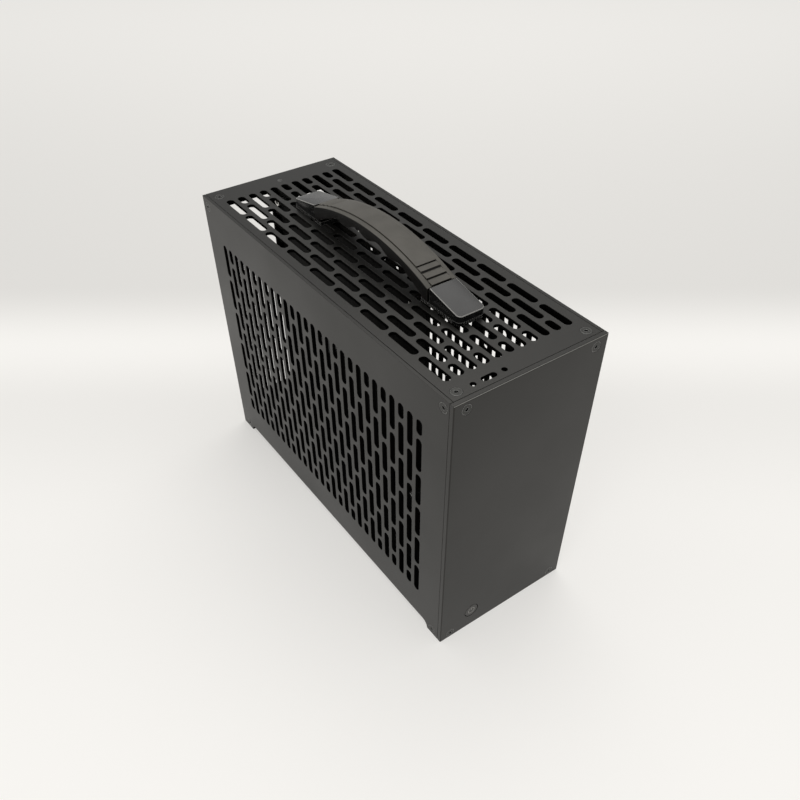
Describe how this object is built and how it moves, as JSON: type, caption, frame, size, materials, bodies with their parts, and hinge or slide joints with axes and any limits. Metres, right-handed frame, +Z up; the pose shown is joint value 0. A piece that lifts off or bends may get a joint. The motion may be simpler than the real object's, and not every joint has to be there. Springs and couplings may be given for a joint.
{
  "type": "mini-itx computer case",
  "caption": "Tall narrow computer case with slotted side and top panels, a plain front plate with a round power button, short feet and a flexible carrying handle.",
  "frame": {"origin": "centre of the case's footprint on the ground", "axes": "+Z up, -Y out of the plain front plate, +X to the right when the front is seen, along the case's width"},
  "size_m": [0.101, 0.265, 0.2152],
  "materials": {
    "panels": "matt dark grey coating",
    "front_plate": "matt dark grey coating",
    "blocks": "matt black coating",
    "inner_sheet": "fine matt black powder coating",
    "standoffs": "plain plated steel",
    "inlet": "moulded black plastic",
    "screws": "black oxide",
    "switch_plastic": "moulded black plastic",
    "circuit_board": "green solder mask",
    "handle_strap": "satin black",
    "handle_caps": "semi-gloss black",
    "nuts_and_washers": "plain plated steel"
  },
  "bodies": {
    "case": {"front_panel": "front_plate", "rear_panel": "panels", "top_panel": "panels", "bottom_panel": "inner_sheet", "left_side_panel": "panels", "right_side_panel": "panels", "front_left_top_block": "blocks", "front_right_top_block": "blocks", "rear_left_top_block": "blocks", "rear_right_top_block": "blocks", "front_left_foot_block": "blocks", "front_right_foot_block": "blocks", "rear_left_foot_block": "blocks", "rear_right_foot_block": "blocks", "motherboard_tray": "inner_sheet", "motherboard_standoffs": "standoffs", "riser_bracket": "inner_sheet", "psu_bracket": "inner_sheet", "slot_ledge": "inner_sheet", "power_inlet": "inlet", "tray_screws": "screws", "riser_bracket_screws": "screws", "psu_bracket_screws": "screws", "slot_ledge_screws": "screws", "inlet_screws": "screws", "front_screws": "screws", "top_screws": "screws", "left_side_screws": "screws", "right_side_screws": "screws", "rear_screws": "screws", "bottom_screws": "screws", "rear_lip_screw": "screws", "button_housing": "switch_plastic", "tact_switch": "switch_plastic", "switch_board": "circuit_board", "switch_screws": "screws", "handle_front_base": "handle_caps", "handle_rear_base": "handle_caps", "handle_front_cover": "handle_caps", "handle_rear_cover": "handle_caps", "handle_screws": "screws", "handle_washers": "nuts_and_washers", "handle_nuts": "nuts_and_washers"},
    "button": {"power_button": "front_plate", "switch_plunger": "switch_plastic"},
    "handle": {"handle_strap": "handle_strap"}
  },
  "joints": [
    {"name": "button_press", "type": "slide", "parent": "case", "child": "button", "axis": [0, 1, 0], "range_m": [0, 0.0008], "stiffness_N_per_m": 2000},
    {"name": "handle_lift", "type": "slide", "parent": "case", "child": "handle", "axis": [0, 0, 1], "range_m": [0, 0.0013]}
  ]
}
